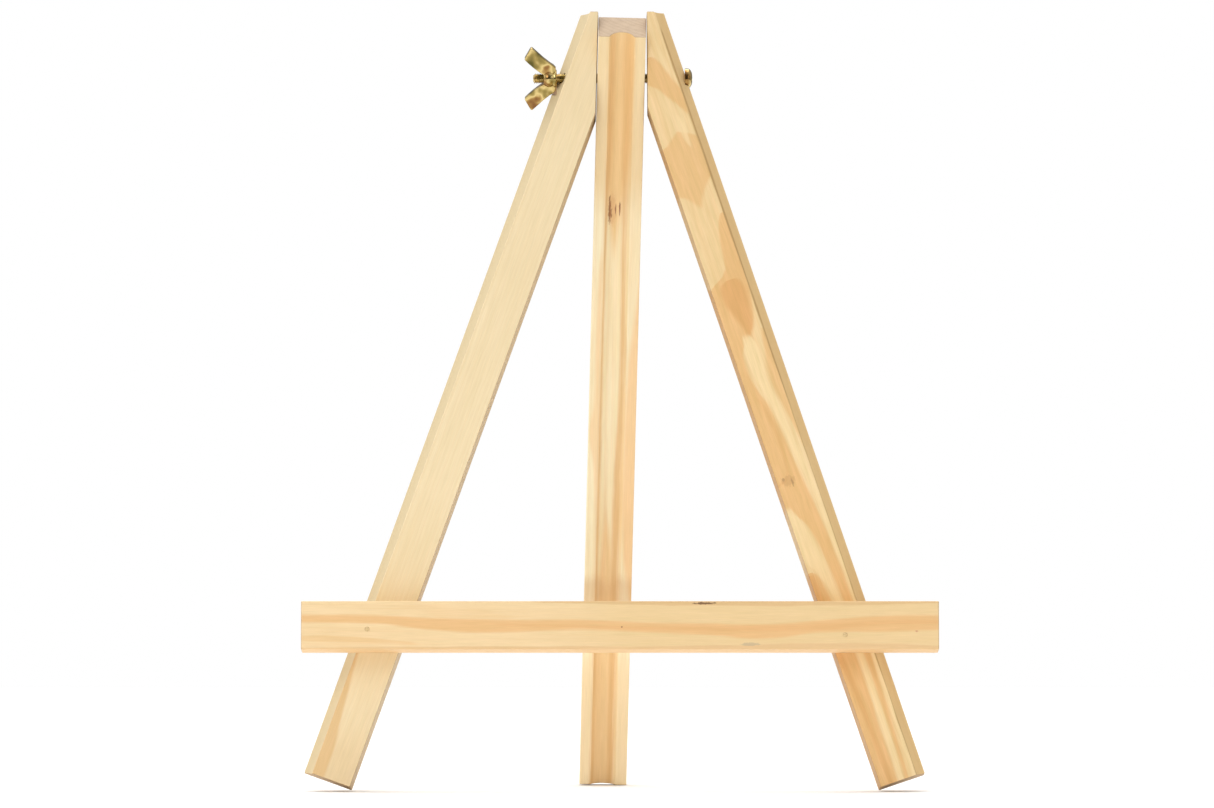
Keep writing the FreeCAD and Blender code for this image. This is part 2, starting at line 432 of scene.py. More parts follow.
def ramp(tree, value, low, high, bottom=0.0, top=1.0):
    """Rises smoothly from bottom to top as value goes from low to high."""
    return node(tree, "ShaderNodeMapRange", {
        "Value": value, "From Min": low, "From Max": high, "To Min": bottom, "To Max": top},
        interpolation_type="SMOOTHSTEP").outputs[0]


def noise_of(tree, place, scale=1.0, detail=2.0, roughness=0.5):
    made = node(tree, "ShaderNodeTexNoise", {"Vector": place, "Scale": scale, "Detail": detail,
                                             "Roughness": roughness})
    return made.outputs[0]


def group(name, inputs, outputs):
    """A new shader node group. Returns the tree, and its inputs and outputs to connect."""
    tree = bpy.data.node_groups.new(name, "ShaderNodeTree")
    for label, kind, value in inputs:
        socket = tree.interface.new_socket(label, in_out="INPUT", socket_type="NodeSocket" + kind)
        socket.default_value = value
    for label, kind in outputs:
        tree.interface.new_socket(label, in_out="OUTPUT", socket_type="NodeSocket" + kind)
    return tree, tree.nodes.new("NodeGroupInput").outputs, tree.nodes.new("NodeGroupOutput").inputs


def use(tree, group_tree, values=()):
    """Places a node group, with its inputs by name, and returns its outputs."""
    return node(tree, "ShaderNodeGroup", values, node_tree=group_tree).outputs


def new_material(name):
    """An empty material, and its node tree."""
    material = bpy.data.materials.new(name)
    material.use_nodes = True
    material.node_tree.nodes.clear()
    return material, material.node_tree


def surface(tree, colour, roughness, height, relief, strength, **shine):
    """Ends a material: colour and roughness, with bumps that are this many metres deep."""
    bump = node(tree, "ShaderNodeBump", {"Height": height, "Strength": strength, "Distance": relief})
    shader = node(tree, "ShaderNodeBsdfPrincipled", {
        "Base Color": colour, "Roughness": roughness, "Normal": bump.outputs[0]})
    for socket, value in shine.items():
        shader.inputs[socket.replace("_", " ")].default_value = value
    node(tree, "ShaderNodeOutputMaterial", {0: shader.outputs[0]})


def millimetres_from(tree, centre):
    """The place on a piece in millimetres from a centre, along the easel's own axes."""
    coordinates = tree.nodes.new("ShaderNodeTexCoord").outputs["Object"]
    return node(tree, "ShaderNodeMapping", {
        "Vector": coordinates, "Location": -centre / MM, "Scale": (1 / MM,) * 3}).outputs[0]


def srgb(red, green, blue):
    """A colour as it looks on a screen, 0 to 255, as the linear colour that materials take."""
    def linear(value):
        value /= 255
        return value / 12.92 if value <= 0.04045 else ((value + 0.055) / 1.055) ** 2.4
    return (linear(red), linear(green), linear(blue), 1.0)


def stretched(tree, place, x, y, z):
    """A place scaled by a different amount along each axis."""
    return vector_of(tree, "MULTIPLY", place, (x, y, z))


def grain_noise(tree, place, stretch, detail=2.0, roughness=0.5):
    """Noise on a place in millimetres that is first scaled along each axis."""
    return noise_of(tree, stretched(tree, place, *stretch), 1.0, detail, roughness)


def growth_rings_group():
    """Growth rings round a pith line, with the darker late wood of each year."""
    tree, given, out = group("Growth rings", [
        ("Place", "Vector", (0, 0, 0)), ("Pith", "Vector", (-40, 40, 0)), ("Ring Spacing", "Float", 1.8),
        ("Waver", "Float", 1.0)], [("Late Wood", "Float")])
    slow = vector_of(tree, "DIVIDE", given["Place"], (14.0, 14.0, 60.0))
    drift = node(tree, "ShaderNodeTexNoise", {"Vector": slow, "Scale": 1.0, "Detail": 2.0}).outputs["Color"]
    drift = scaled(tree, vector_of(tree, "SUBTRACT", drift, (0.5, 0.5, 0.5)), given["Waver"])
    offset = vector_of(tree, "SUBTRACT", vector_of(tree, "ADD", given["Place"], drift), given["Pith"])
    radius = vector_of(tree, "LENGTH", stretched(tree, offset, 1, 1, 0))
    years = math_of(tree, "DIVIDE", radius, given["Ring Spacing"])
    along_years = node(tree, "ShaderNodeCombineXYZ", {"X": times(tree, years, 0.35)}).outputs[0]
    uneven = noise_of(tree, along_years, 1.0, 1.0)
    phase = math_of(tree, "FRACT", plus(tree, years, times(tree, uneven, 2.0)))
    late = times(tree, ramp(tree, phase, 0.25, 0.82), ramp(tree, phase, 0.9, 1.0, 1.0, 0.0))
    tree.links.new(late, out["Late Wood"])
    return tree


def fibres_group():
    """Fine fibres and short resin flecks that run along the bar."""
    tree, given, out = group("Fibres", [("Place", "Vector", (0, 0, 0)), ("Fleck Share", "Float", 0.3)],
                             [("Fibres", "Float"), ("Streaks", "Float"), ("Flecks", "Float")])
    fine = grain_noise(tree, given["Place"], (5.0, 5.0, 0.10), 3.0, 0.65)
    broad = grain_noise(tree, given["Place"], (1.1, 1.1, 0.016), 3.0, 0.55)
    dashes = grain_noise(tree, given["Place"], (3.2, 3.2, 0.55), 1.0, 0.4)
    high = minus(tree, 0.86, times(tree, given["Fleck Share"], 0.2))
    tree.links.new(fine, out["Fibres"])
    tree.links.new(broad, out["Streaks"])
    tree.links.new(ramp(tree, dashes, high, plus(tree, high, 0.05)), out["Flecks"])
    return tree


def band_group():
    """A band of colour between two edges across the bar, with soft and slightly ragged sides."""
    tree, given, out = group("Colour band", [
        ("Place", "Vector", (0, 0, 0)), ("Left Edge", "Float", 0.0), ("Right Edge", "Float", 1.0),
        ("Softness", "Float", 1.0), ("Ragged", "Float", 0.6)], [("Mask", "Float")])
    across = node(tree, "ShaderNodeSeparateXYZ", {0: given["Place"]}).outputs[0]
    rough = grain_noise(tree, given["Place"], (0.9, 0.9, 0.05), 3.0, 0.6)
    across = plus(tree, across, swing(tree, rough, given["Ragged"]))
    half = times(tree, given["Softness"], 0.5)
    sides = []
    for edge, bottom in (("Left Edge", 0.0), ("Right Edge", 1.0)):
        start, end = minus(tree, given[edge], half), plus(tree, given[edge], half)
        sides.append(ramp(tree, across, start, end, bottom, 1.0 - bottom))
    tree.links.new(times(tree, *sides), out["Mask"])
    return tree


def spot_group():
    """A small spot or slit at a place, with a broken outline: a knot, a nick or a resin mark."""
    tree, given, out = group("Spot", [
        ("Place", "Vector", (0, 0, 0)), ("Middle", "Vector", (0, 0, 0)), ("Reach", "Vector", (1, 1, 1)),
        ("Broken", "Float", 0.5)], [("Mask", "Float")])
    offset = vector_of(tree, "SUBTRACT", given["Place"], given["Middle"])
    offset = vector_of(tree, "DIVIDE", offset, given["Reach"])
    rough = grain_noise(tree, given["Place"], (1.6, 1.6, 0.7), 3.0, 0.6)
    rough = swing(tree, rough, given["Broken"])
    reach = plus(tree, vector_of(tree, "LENGTH", offset), times(tree, rough, 2.0))
    tree.links.new(ramp(tree, reach, 0.55, 1.0, 1.0, 0.0), out["Mask"])
    return tree


def end_grain_group():
    """How an end cut darkens: late wood shows as arcs, between open pores."""
    tree, given, out = group("End grain", [("Place", "Vector", (0, 0, 0)), ("Late Wood", "Float", 0.0)],
                             [("Shade", "Float"), ("Height", "Float")])
    pores = grain_noise(tree, given["Place"], (3.4, 3.4, 3.4), 2.0, 0.6)
    scratches = grain_noise(tree, given["Place"], (0.35, 4.0, 0.35), 2.0)
    stain = grain_noise(tree, given["Place"], (0.22, 0.30, 0.22), 2.0, 0.55)
    shade = plus(tree, times(tree, given["Late Wood"], 0.10), times(tree, plus(tree, pores, stain), 0.46))
    tree.links.new(shade, out["Shade"])
    tree.links.new(plus(tree, pores, scratches), out["Height"])
    return tree


GROWTH_RINGS = growth_rings_group()
FIBRES = fibres_group()
COLOUR_BAND = band_group()
SPOT = spot_group()
END_GRAIN = end_grain_group()


def bar_place_node(tree, place):
    """The place on a bar in its own axes, in millimetres."""
    coordinates = tree.nodes.new("ShaderNodeTexCoord").outputs["Object"]
    back = place.inverted()
    return node(tree, "ShaderNodeMapping", {
        "Vector": coordinates, "Location": back.translation / MM, "Rotation": back.to_euler(),
        "Scale": (1 / MM,) * 3}).outputs[0]


def curve_of(tree, along, length, points, scale):
    """A number that changes along the bar, through (millimetres along, value) points."""
    made = node(tree, "ShaderNodeFloatCurve", {"Value": math_of(tree, "DIVIDE", along, length)})
    curve = made.mapping.curves[0]
    points = sorted(points)
    for spot in range(len(points) - 2):
        curve.points.new(0.5, 0.5)
    for point, (z, value) in zip(curve.points, points):
        point.location = (z / length, value / scale)
        point.handle_type = "AUTO"
    made.mapping.update()
    return times(tree, made.outputs[0], scale)


def ends_fade(tree, along, start, end, fade):
    """1 between two places along the bar, fading out beyond them."""
    return times(tree, ramp(tree, along, start - fade, start), ramp(tree, along, end, end + fade, 1.0, 0.0))


EDGE_SHIFT = 10.0            # a band's edges may lie this far outside the bar on its left
EDGE_SPAN = 40.0             # and this far apart in all, in millimetres
BAND_RAGGED = 1.5
FIGURE_SLANT = 0.28          # how far the bands lean sideways for each millimetre of depth
LEG_FIGURE = 330             # the length that a leg's bands are laid out on, in millimetres
LEDGE_FIGURE = 250


def painted_band(tree, place, along, length, colour, tone, rows, softness, strength, fade):
    """Tints colour with tone inside a band. rows are (millimetres along, left edge, right edge)."""
    edges = []
    for side in (1, 2):
        points = [(row[0], row[side] + EDGE_SHIFT) for row in rows]
        edges.append(minus(tree, curve_of(tree, along, length, points, EDGE_SPAN), EDGE_SHIFT))
    mask = use(tree, COLOUR_BAND, {
        "Place": place, "Left Edge": edges[0], "Right Edge": edges[1], "Softness": softness,
        "Ragged": BAND_RAGGED})["Mask"]
    heights = [row[0] for row in rows]
    shown = ends_fade(tree, along, min(heights), max(heights), fade)
    return blend(tree, times(tree, times(tree, mask, shown), strength), colour, tone)


# The first brown is painted shade on the front legs' inner sides and bevels, where they face each other.
INNER_SHADE_BROWN = srgb(122, 84, 48)
ARRIS_BROWN = srgb(196, 150, 100)
FLECK_BROWN = srgb(190, 140, 90)


def face_mark(tree, name):
    """A mark that the faces carry, from 0 to 1."""
    return node(tree, "ShaderNodeAttribute", attribute_name=name, attribute_type="GEOMETRY").outputs["Fac"]


def pine(name, place, length, pale, warm, ring_tone, ring_strength, pith, spacing, waver, bands=(), spots=(),
         end_tone=srgb(206, 176, 134), end_dark=srgb(172, 136, 96), cove=None, over_bands=(),
         streak_strength=0.3, inner_shade=0.0, mottle=0.15):
    """Bare sanded pine. bands are (tone, rows, softness, strength, fade) and spots are
    (tone, middle, reach, broken, strength), both in the bar's own axes."""
    material, tree = new_material(name)
    here = bar_place_node(tree, place)
    across, depth, along = node(tree, "ShaderNodeSeparateXYZ", {0: here}).outputs
    slanted = node(tree, "ShaderNodeCombineXYZ", {
        "X": plus(tree, across, times(tree, depth, FIGURE_SLANT)), "Y": depth, "Z": along}).outputs[0]
    rings = use(tree, GROWTH_RINGS, {"Place": here, "Pith": pith, "Ring Spacing": spacing, "Waver": waver})
    fibres = use(tree, FIBRES, {"Place": here})

    patches = grain_noise(tree, here, (0.07, 0.07, 0.012), 2.0)
    colour = blend(tree, ramp(tree, patches, 0.35, 0.68), pale, warm)
    streaks = times(tree, ramp(tree, fibres["Streaks"], 0.45, 0.72), streak_strength)
    colour = blend(tree, streaks, colour, ring_tone)
    late = times(tree, rings["Late Wood"], ring_strength)
    colour = blend(tree, late, colour, ring_tone)
    for band in bands:
        colour = painted_band(tree, slanted, along, length, colour, *band)

    fine = swing(tree, fibres["Fibres"], 0.26)
    cloudy = grain_noise(tree, here, (0.5, 0.5, 0.045), 4.0, 0.6)
    drift = swing(tree, cloudy, mottle)
    lift = plus(tree, 1.0, plus(tree, fine, drift))
    shade = node(tree, "ShaderNodeCombineColor", {0: lift, 1: lift, 2: plus(tree, lift, drift)}).outputs[0]
    colour = blend(tree, 1.0, colour, shade, "MULTIPLY")
    colour = blend(tree, times(tree, fibres["Flecks"], 0.4), colour, FLECK_BROWN)
    for tone, middle, reach, broken, strength in spots:
        mask = use(tree, SPOT, {"Place": here, "Middle": middle, "Reach": reach, "Broken": broken})["Mask"]
        colour = blend(tree, times(tree, mask, strength), colour, tone)
    # Painted shade: the cove strip is tinted darker than the face, where it turns away from the light.
    if cove:
        start, end, cove_depth, tone = cove
        painted_cove_shade = ramp(tree, depth, cove_depth - 0.5, cove_depth + 1.5, 0.92, 0.15)
        colour = blend(tree, times(tree, ramp(tree, across, start, end), painted_cove_shade), colour, tone)
    for band in over_bands:
        colour = painted_band(tree, slanted, along, length, colour, *band)

    # The eased arrises are painted darker, in streaks along the grain.
    arris_darkening = times(tree, face_mark(tree, "arris"), ramp(tree, fibres["Streaks"], 0.3, 0.7, 0.1, 0.38))
    colour = blend(tree, arris_darkening, colour, ARRIS_BROWN)
    # Painted shade on the inner sides and bevels that face the other front leg, streaked along the grain.
    painted_inner_shade = ramp(tree, fibres["Streaks"], 0.3, 0.7, 0.75 * inner_shade, inner_shade)
    colour = blend(tree, times(tree, face_mark(tree, "inner"), painted_inner_shade), colour, INNER_SHADE_BROWN)
    end_cut = face_mark(tree, "end_cut")
    end = use(tree, END_GRAIN, {"Place": here, "Late Wood": rings["Late Wood"]})
    end_colour = blend(tree, ramp(tree, end["Shade"], 0.1, 0.9), end_tone, end_dark)
    colour = blend(tree, end_cut, colour, end_colour)

    polish = plus(tree, times(tree, late, 0.5), fibres["Fibres"])
    roughness = ramp(tree, polish, 0.3, 1.0, 0.62, 0.46)
    height = plus(tree, fibres["Fibres"], times(tree, late, 0.25))
    height = plus(tree, height, times(tree, times(tree, end["Height"], end_cut), 1.5))
    surface(tree, colour, roughness, height, relief=0.00012, strength=0.35, Specular_IOR_Level=0.35)
    return material


def plating_group():
    """Yellow zinc plating: drifting patches of gold, olive and reddish brown, with fine marks."""
    tree, given, out = group("Yellow zinc plating", [
        ("Place", "Vector", (0, 0, 0)), ("Patch Size", "Float", 2.5), ("Seed", "Float", 0.0)],
        [("Colour", "Color"), ("Dull", "Float"), ("Height", "Float")])
    aside = node(tree, "ShaderNodeCombineXYZ", {"X": given["Seed"], "Y": given["Seed"]}).outputs[0]
    shifted = vector_of(tree, "ADD", given["Place"], aside)
    patch = scaled(tree, shifted, math_of(tree, "DIVIDE", 1.0, given["Patch Size"]))
    tones = node(tree, "ShaderNodeValToRGB", {0: noise_of(tree, patch, 1.0, 2.0, 0.5)})
    stops = [(0.30, srgb(92, 84, 44)), (0.42, srgb(150, 130, 74)), (0.51, srgb(212, 188, 126)),
             (0.59, srgb(152, 116, 66)), (0.70, srgb(108, 66, 44))]
    marks = tones.color_ramp.elements
    while len(marks) < len(stops):
        marks.new(0.5)
    for mark, (position, colour) in zip(marks, stops):
        mark.position = position
        mark.color = colour
    fine = noise_of(tree, scaled(tree, given["Place"], 5.0), 1.0, 3.0, 0.7)
    worn = noise_of(tree, scaled(tree, given["Place"], 1.1), 1.0, 2.0, 0.5)
    tree.links.new(tones.outputs[0], out["Colour"])
    tree.links.new(times(tree, fine, worn), out["Dull"])
    tree.links.new(fine, out["Height"])
    return tree


PLATING = plating_group()


def plated_steel(name, patch, seed, smooth, rough):
    """Steel in yellow zinc. smooth and rough are its roughness where it is bright and where it is dull."""
    material, tree = new_material(name)
    plating = use(tree, PLATING, {"Place": millimetres_from(tree, pivot), "Patch Size": patch, "Seed": seed})
    roughness = ramp(tree, plating["Dull"], 0.1, 0.5, smooth, rough)
    surface(tree, plating["Colour"], roughness, plating["Height"], relief=0.00005, strength=0.25,
            Metallic=1.0)
    return material


def nail_steel(name, centre):
    """A wire nail's head, filled and stained until it is nearly the colour of the wood."""
    material, tree = new_material(name)
    marks = noise_of(tree, millimetres_from(tree, centre), 2.6, 3.0, 0.65)
    colour = blend(tree, ramp(tree, marks, 0.4, 0.7), srgb(240, 210, 158), srgb(200, 172, 120))
    roughness = ramp(tree, marks, 0.3, 0.7, 0.42, 0.62)
    surface(tree, colour, roughness, marks, relief=0.00005, strength=0.3, Metallic=0.15)
    return material


# Where the metal parts sit, read from the CAD

bolt_low, bolt_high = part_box("pivot_bolt")
nut_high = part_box("wing_nut")[1]
bolt_end_x = bolt_low.x / MM
bolt_seat_x = bolt_high.x / MM - HEAD_HEIGHT
nut_seat_x = nut_high.x / MM
right_way = Vector((1, 0, 0))


def on_bolt(x):
    """The point of the bolt's axis at this x, in millimetres."""
    return Vector((x * MM, pivot.y, pivot.z))


# Bars

def wandering(amount, wave, seed):
    """How far an arris wanders along the bar, in millimetres."""
    def at(z):
        slow = noise.noise(Vector((z / wave, seed, 0.3)))
        quick = noise.noise(Vector((z / (wave * QUICK_WAVE), seed, 4.1)))
        return amount * (slow + QUICK_HEIGHT * quick)
    return at


def front_leg(name, node_name, side, width, cove_depth, material, slot, nail, arris_wander, closing):
    """A front leg. side is 1 where the cove is on the left, and -1 where it is on the right."""
    cove = circle_arc((0, cove_depth), (0.8 * COVE_WIDTH, 0.55 * cove_depth), (COVE_WIDTH, 0), 10)
    outline = cove + [(width - INNER_DRAFT, 0), (width, FRONT_THICKNESS), (0, FRONT_THICKNESS)]
    if side < 0:
        outline = [(width - x, y) for x, y in outline][::-1]

    def waver(x, y, z):
        reach = math.hypot((x if side > 0 else width - x) - COVE_WIDTH, y)
        near = max(0.0, 1 - reach / ARRIS_REACH)
        soft = FACE_WAVER * noise.noise(Vector((x / 9, y / 9, z / 40)))
        return side * near * arris_wander(z), soft

    piece, place = bar(name, node_name, outline, waver=waver, edge_round=0.3, closing=closing)
    cut(piece, rod(HOLE_RADIUS, on_bolt(-THROUGH), right_way, 2 * THROUGH))
    if side > 0:
        cut(piece, rod(NUT_SEAT_RADIUS, on_bolt(nut_seat_x - THROUGH), right_way, THROUGH))
    else:
        cut(piece, rod(HEAD_SEAT_RADIUS, on_bolt(bolt_seat_x), right_way, THROUGH))
    cut(piece, nail_shape("cutter", nail, NAIL_HOLE_GAP))
    mark_faces(piece, place, place.to_3x3() @ Vector((side, 0, 0)))
    return finish_piece(piece, material(place), "front_frame", slot, node_name)


def nail_shape(name, nail, gap=None):
    """A wire nail with a slightly domed head, where the CAD nail is. A gap makes the hole for it instead."""
    low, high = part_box(nail)
    rise = NAIL_HEAD_RADIUS * MM
    start = Vector(((low.x + high.x) / 2, low.y + rise * front_up.y, high.z - rise * front_up.z))
    if gap:
        bottom, end = NAIL_HEAD_THICKNESS + gap, NAIL_LENGTH + gap
        head, shank = NAIL_HEAD_RADIUS + gap, NAIL_RADIUS + gap
        outline = [(-1.0, 0), (-1.0, head), (bottom, head), (bottom, shank), (end, shank), (end, 0)]
    else:
        outline = [(NAIL_SUNK + h, r) for h, r in ((0, 0), (0.01, 0.45), (0.03, 0.74), (0.07, 0.86))]
        outline += [(NAIL_SUNK + 0.12, NAIL_HEAD_RADIUS), (NAIL_HEAD_THICKNESS, NAIL_HEAD_RADIUS),
                    (NAIL_HEAD_THICKNESS, NAIL_RADIUS), (NAIL_LENGTH - 1.6, NAIL_RADIUS),
                    (NAIL_LENGTH - 0.4, 0.12), (NAIL_LENGTH - 0.3, 0)]
    return turned(name, outline, start, front_back, 24)


def rear_outline():
    half = GROOVE_WIDTH / 2
    middle = REAR_WIDTH / 2
    groove = circle_arc((middle - half, 0), (middle, GROOVE_DEPTH), (middle + half, 0), 14)
    return [(0, 0)] + groove + [(REAR_WIDTH, 0), (REAR_WIDTH, REAR_THICKNESS), (0, REAR_THICKNESS)]


CREAM = srgb(243, 222, 180)
STRAW = srgb(234, 203, 150)
ORANGE = srgb(233, 188, 127)
DEEP_ORANGE = srgb(222, 166, 102)
RIGHT_CREAM = srgb(247, 219, 167)
KNOT_BROWN = srgb(96, 58, 36)
RUST_KNOT = srgb(150, 84, 56)
# The last tone is painted shade for the walls of the rear leg's groove.
GROOVE_WALL_SHADE = srgb(232, 192, 136)


def left_leg_pine(place):
    bands = [
        (srgb(236, 208, 162), [(0, -3, 24), (10, -3, 24)], 2.0, 0.7, 18),
        (srgb(228, 190, 134), [(0, 2.4, 8.4), (14, 2.6, 8.0), (28, 2.2, 6.4), (45, 2.2, 5.0), (60, 2.4, 3.6)],
            1.6, 0.85, 4),
        (srgb(239, 214, 168), [(290, 2, 24), (320, 2, 24)], 3.0, 0.5, 30),
    ]
    spots = [
        (KNOT_BROWN, (3.3, 0.2, 215), (0.35, 1.5, 2.0), 0.5, 0.6),
        (KNOT_BROWN, (3.2, 0.2, 163), (0.3, 1.5, 1.4), 0.5, 0.5),
        (KNOT_BROWN, (2.4, 0.8, 137), (0.3, 1.5, 1.6), 0.5, 0.45),
    ]
    # The cove's tone is painted shade on the cove strip.
    return pine("left_leg_pine", place, LEG_FIGURE, CREAM, srgb(241, 219, 176), STRAW, 0.16,
                (-70, 30, 0), 1.5, 2.0, bands, spots, cove=(3.7, 3.3, LEFT_COVE_DEPTH, srgb(213, 193, 152)),
                streak_strength=0.12, inner_shade=0.8)


def right_leg_pine(place):
    bands = [
        (ORANGE, [(304, 3, 5), (300, 0.5, 10.5), (295, 1.5, 12.3), (290, 6.5, 14), (285, 9.6, 15.6),
            (280, 12.8, 15.6), (277, 14.5, 15)], 1.8, 0.9, 4),
        (ORANGE, [(271, 8, 9), (267, 3, 16), (262, -3, 22), (256, -3, 22), (250, -2, 15), (244, 4, 10),
            (240, 7, 8)], 2.6, 0.8, 4),
        (ORANGE, [(236, 15, 15.6), (226, 10.6, 19), (214, 8.9, 17), (206, 0, 15.8), (194, -3, 13.8),
            (184, -3, 8.5), (176, -3, 4), (154, -3, 7.9), (130, -3, 10.3), (118, -1, 11.6),
            (106, 6.9, 12.8), (82, 10, 13.7), (46, 11.3, 13.6), (0, 10.5, 12)], 1.3, 0.95, 3),
        (DEEP_ORANGE, [(209, 9, 10), (204, 4, 13.6), (196, 5.5, 13.2), (190, 7.5, 12.6), (186, 8.5, 10.5),
            (183, 9, 9.5)], 2.6, 0.7, 3),
        (ORANGE, [(187, 15, 15.6), (178, 13, 22), (166, 11.6, 22), (154, 13, 22), (144, 14.6, 22),
            (136, 15.6, 16)], 1.6, 0.8, 3),
        (ORANGE, [(89, 0.5, 1), (85, -3, 4.4), (79, -3, 5.4), (66, -3, 7.2), (46, -3, 8.2), (20, -3, 7.7),
            (0, -3, 7.4)], 1.2, 0.95, 3),
        (DEEP_ORANGE, [(88, 1, 1.5), (84, -2, 3), (76, -2, 3.4), (60, 0, 3), (40, 2.2, 4.4), (0, 4, 6)],
            1.6, 0.5, 3),
        (RIGHT_CREAM, [(114, -3, 3), (104, -3, 6.2), (95, 0, 7.8), (88, 4, 8.2), (82, 6, 8.8), (74, 8, 9.5)],
            1.2, 0.8, 3),
        (RIGHT_CREAM, [(184, 6, 10), (176, 5.5, 11.2), (166, 6.7, 10.2), (158, 8.2, 11.4), (150, 9.3, 12.3),
            (142, 10.2, 13), (130, 11.6, 14), (118, 13.2, 15.2), (106, 13.2, 15.2),
            (94, 14.1, 15.3), (46, 14.2, 15.6), (0, 13.6, 15.4)], 1.0, 0.8, 3),
        (RIGHT_CREAM, [(60, 8.8, 10.8), (34, 8.6, 10.7), (0, 8.2, 10.2)], 0.9, 0.8, 3),
        (RIGHT_CREAM, [(277, 10, 11), (273, 9.6, 12), (265, 11, 12)], 1.4, 0.6, 3),
        (DEEP_ORANGE, [(160, 4, 4.6), (150, 5.6, 7.0), (138, 6.4, 7.4), (126, 3, 4)], 1.6, 0.35, 4),
    ]
    # A painted shadow line along the cove's step, on the strip beside it.
    painted_step_shadow = (srgb(178, 136, 78), [
        (0, 15.3, 16.1), (90, 15.3, 16.1), (150, 15.4, 16.2), (180, 15.2, 16.5), (240, 15.2, 16.8),
        (310, 15.3, 16.6)], 0.7, 0.75, 4)
    spots = [
        (KNOT_BROWN, (3.5, 0.0, 127), (0.8, 3, 0.8), 0.9, 0.35),
        (KNOT_BROWN, (6.5, 0.0, 125), (0.5, 3, 1.8), 0.9, 0.4),
        (FLECK_BROWN, (5.1, 0.0, 126), (3.4, 3, 2.6), 0.8, 0.35),
    ]
    # The cove's tone is painted shade on the cove strip.
    return pine("right_leg_pine", place, LEG_FIGURE, srgb(242, 213, 161), srgb(239, 207, 152), ORANGE, 0.14,
                (-30, 60, 0), 2.4, 4.0, bands, spots,
                cove=(15.1, 15.7, RIGHT_COVE_DEPTH, srgb(222, 188, 132)), over_bands=[painted_step_shadow],
                streak_strength=0.2, inner_shade=0.8, mottle=0.34)


def rear_leg_pine(place):
    bands = [
        (srgb(241, 212, 162), [(246, -3, 24), (310, -3, 24)], 2.0, 0.85, 22),
        (srgb(250, 224, 178), [(0, -3, 24), (40, -3, 24)], 2.0, 0.75, 24),
        (srgb(241, 203, 144), [(214, 9, 9.6), (230, 7, 11.6), (248, 5, 13.6), (275, 4.4, 14.4),
            (310, 4, 14.8)], 3.4, 0.9, 8),
        (ORANGE, [(246, 6, 6.6), (262, 5, 7.4), (280, 5, 7.8), (310, 5.4, 8)], 2.4, 0.6, 10),
        (ORANGE, [(244, 12, 12.6), (262, 11.4, 14), (280, 11.2, 14.2), (310, 11.6, 14.4)], 2.4, 0.75, 10),
        (srgb(243, 207, 152), [(0, 4.6, 13.4), (40, 5, 13), (62, 5.5, 12.8), (84, 6.5, 12), (108, 8.5, 9.2)],
            2.6, 0.85, 12),
        # The next two bands are painted shade along the groove's two walls.
        (GROOVE_WALL_SHADE, [(0, 4.0, 5.8), (40, 4.2, 5.8), (98, 4.0, 5.4), (130, 3.8, 5.4), (200, 4.2, 5.4),
            (245, 4.2, 6)], 1.6, 0.8, 14),
        (srgb(228, 184, 124), [(0, 12.0, 13.4), (50, 11.8, 13.6), (98, 11.4, 13.8), (130, 11.6, 14.0),
            (165, 12.6, 14.2), (215, 12.2, 13.4), (245, 12, 13.2)], 1.7, 0.75, 14),
        (srgb(250, 210, 156), [(62, 19.6, 24), (80, 17, 24), (98, 14.6, 24), (142, 14.2, 24), (164, 15, 24),
            (190, 17.4, 24), (208, 19.6, 24)], 2.6, 0.85, 4),
        (srgb(249, 213, 162), [(112, 3.4, 3.8), (130, 2.2, 4), (142, 0.5, 4), (155, 2, 4), (190, 2.2, 4),
            (212, 3.2, 3.8)], 1.8, 0.7, 6),
    ]
    spots = [
        (srgb(112, 64, 38), (6.3, 1.0, 231.2), (0.75, 3, 7.6), 0.55, 1.0),
        (srgb(112, 64, 38), (7.0, 1.0, 229.5), (0.4, 3, 3.6), 0.9, 0.9),
        (RUST_KNOT, (8.6, 2.6, 231), (0.42, 3, 2.4), 0.6, 0.9),
        (RUST_KNOT, (10.2, 3.0, 231.8), (0.42, 3, 3.2), 0.6, 0.85),
        (srgb(214, 160, 110), (7.4, 1.5, 231), (2.4, 4, 9.0), 0.4, 0.4),
        # Painted shadow of the ledge on the rear leg, just above where the ledge crosses it.
        (srgb(214, 168, 116), (9.4, 0.5, 74), (26, 5.5, 13), 0.1, 0.42),
    ]
    # Painted light: the rear leg's pale and warm tones are lifted to make up for the shade it stands in behind the
    # front frame.
    return pine("rear_leg_pine", place, LEG_FIGURE, srgb(254, 242, 206), srgb(253, 234, 192), ORANGE, 0.1,
                (40, 50, 0), 2.0, 2.5, bands, spots, end_tone=srgb(204, 180, 150),
                end_dark=srgb(168, 142, 116), streak_strength=0.14)


